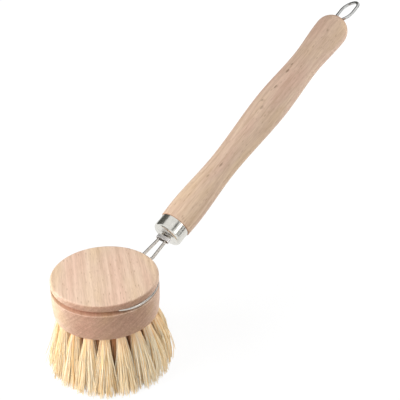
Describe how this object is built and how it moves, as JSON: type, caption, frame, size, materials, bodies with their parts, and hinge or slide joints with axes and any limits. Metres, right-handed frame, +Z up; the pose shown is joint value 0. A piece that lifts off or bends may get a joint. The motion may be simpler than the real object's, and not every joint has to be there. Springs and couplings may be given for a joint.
{
  "type": "dish brush",
  "caption": "Wooden dish brush: a round head of plant-fibre tufts, held in a sprung wire clip on a turned, waisted handle with a hanging eye.",
  "frame": {"origin": "on the head's axis, in the plane of the bristle tips", "axes": "+Z up along the head's axis, +X from the head towards the handle's end, +Y to the left of the handle"},
  "size_m": [0.2376, 0.0572, 0.1314],
  "materials": {
    "handle_beech": "bare sanded beech",
    "head_beech": "bare sanded beech",
    "ferrule_steel": "bright drawn sheet",
    "wire_steel": "bright spring wire",
    "collar_steel": "bright folded sheet",
    "eye_steel": "bright wire",
    "bristle": "plant fibre",
    "anchor_steel": "flat wire"
  },
  "bodies": {
    "handle": {"handle": "handle_beech", "ferrule": "ferrule_steel", "wire_clip": "wire_steel", "hanging_eye": "eye_steel"},
    "collar": {"clip_collar": "collar_steel"},
    "head": {"head_block": "head_beech", "tuft_anchors": "anchor_steel", "tuft_outer_01": "bristle", "tuft_outer_02": "bristle", "tuft_outer_03": "bristle", "tuft_outer_04": "bristle", "tuft_outer_05": "bristle", "tuft_outer_06": "bristle", "tuft_outer_07": "bristle", "tuft_outer_08": "bristle", "tuft_outer_09": "bristle", "tuft_outer_10": "bristle", "tuft_outer_11": "bristle", "tuft_outer_12": "bristle", "tuft_outer_13": "bristle", "tuft_outer_14": "bristle", "tuft_outer_15": "bristle", "tuft_outer_16": "bristle", "tuft_outer_17": "bristle", "tuft_outer_18": "bristle", "tuft_middle_01": "bristle", "tuft_middle_02": "bristle", "tuft_middle_03": "bristle", "tuft_middle_04": "bristle", "tuft_middle_05": "bristle", "tuft_middle_06": "bristle", "tuft_middle_07": "bristle", "tuft_middle_08": "bristle", "tuft_middle_09": "bristle", "tuft_middle_10": "bristle", "tuft_middle_11": "bristle", "tuft_middle_12": "bristle", "tuft_inner_01": "bristle", "tuft_inner_02": "bristle", "tuft_inner_03": "bristle", "tuft_inner_04": "bristle", "tuft_inner_05": "bristle", "tuft_inner_06": "bristle", "tuft_centre": "bristle"}
  },
  "joints": [
    {"name": "head_turn", "type": "hinge", "parent": "handle", "child": "head", "pos_m": [0, 0, 0.04285], "axis": [0, 0, 1], "continuous": true},
    {"name": "collar_slide", "type": "slide", "parent": "handle", "child": "collar", "axis": [-0.9272, 0, -0.3746], "range_m": [0, 0.006]}
  ]
}
